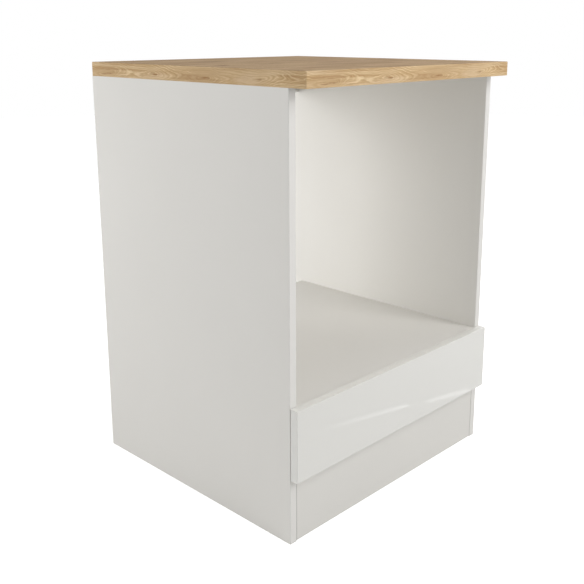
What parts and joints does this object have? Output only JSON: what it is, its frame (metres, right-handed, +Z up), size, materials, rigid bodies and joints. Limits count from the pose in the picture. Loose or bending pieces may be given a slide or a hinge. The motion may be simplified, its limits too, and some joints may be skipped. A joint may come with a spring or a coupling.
{
  "type": "oven base cabinet",
  "caption": "Free-standing kitchen base cabinet for a built-under oven: open niche on a shelf, oak look worktop and a gloss white drawer on roller runners.",
  "frame": {"origin": "on the floor, below the middle of the worktop", "axes": "+X to the right seen from the front, +Y to the wall behind, +Z up"},
  "size_m": [0.6, 0.6, 0.844],
  "materials": {
    "carcass_board": "matt faced chipboard",
    "worktop_board": "satin oak look laminate on chipboard",
    "gloss_front": "high gloss foil on fibreboard",
    "drawer_board": "matt foil on chipboard",
    "hardboard": "matt lacquered hardboard",
    "beech": "plain turned",
    "zinc_steel": "zinc plated",
    "runner_steel": "powder coated",
    "nylon": "moulded",
    "clear_buffer": "soft translucent"
  },
  "bodies": {
    "cabinet": {"side_panel_left": "carcass_board", "side_panel_right": "carcass_board", "worktop": "worktop_board", "oven_shelf": "carcass_board", "bottom_panel": "carcass_board", "plinth_board": "carcass_board", "rear_rail": "carcass_board", "cam_bolts": "zinc_steel", "cam_locks": "zinc_steel", "wooden_dowels": "beech", "worktop_brackets": "zinc_steel", "bracket_screws": "zinc_steel", "runner_cabinet_left": "runner_steel", "runner_cabinet_right": "runner_steel", "roller_pins_cabinet": "zinc_steel", "runner_screws_cabinet": "zinc_steel"},
    "drawer": {"drawer_front": "gloss_front", "drawer_side_left": "drawer_board", "drawer_side_right": "drawer_board", "drawer_back": "drawer_board", "drawer_bottom": "hardboard", "drawer_cam_bolts": "zinc_steel", "drawer_cam_locks": "zinc_steel", "drawer_dowels": "beech", "runner_drawer_left": "runner_steel", "runner_drawer_right": "runner_steel", "roller_pins_drawer": "zinc_steel", "runner_screws_drawer": "zinc_steel", "front_buffers": "clear_buffer"},
    "cabinet_roller_left": {"roller_cabinet_left": "nylon"},
    "cabinet_roller_right": {"roller_cabinet_right": "nylon"},
    "drawer_roller_left": {"roller_drawer_left": "nylon"},
    "drawer_roller_right": {"roller_drawer_right": "nylon"}
  },
  "joints": [
    {"name": "drawer_slide", "type": "slide", "parent": "cabinet", "child": "drawer", "axis": [0, -1, 0], "range_m": [0, 0.375]},
    {"name": "cabinet_roller_left_spin", "type": "hinge", "parent": "cabinet", "child": "cabinet_roller_left", "pos_m": [-0.2788, -0.246, 0.1607], "axis": [1, 0, 0], "range_deg": [0, 2150]},
    {"name": "cabinet_roller_right_spin", "type": "hinge", "parent": "cabinet", "child": "cabinet_roller_right", "pos_m": [0.2788, -0.246, 0.1607], "axis": [1, 0, 0], "range_deg": [0, 2150]},
    {"name": "drawer_roller_left_spin", "type": "hinge", "parent": "drawer", "child": "drawer_roller_left", "pos_m": [-0.2778, 0.2247, 0.1623], "axis": [1, 0, 0], "range_deg": [0, 2150]},
    {"name": "drawer_roller_right_spin", "type": "hinge", "parent": "drawer", "child": "drawer_roller_right", "pos_m": [0.2778, 0.2247, 0.1623], "axis": [1, 0, 0], "range_deg": [0, 2150]}
  ],
  "couplings": [
    {"joint": "cabinet_roller_left_spin", "follows": "drawer_slide", "rad_per_m": 100},
    {"joint": "cabinet_roller_right_spin", "follows": "drawer_slide", "rad_per_m": 100},
    {"joint": "drawer_roller_left_spin", "follows": "drawer_slide", "rad_per_m": 100},
    {"joint": "drawer_roller_right_spin", "follows": "drawer_slide", "rad_per_m": 100}
  ]
}
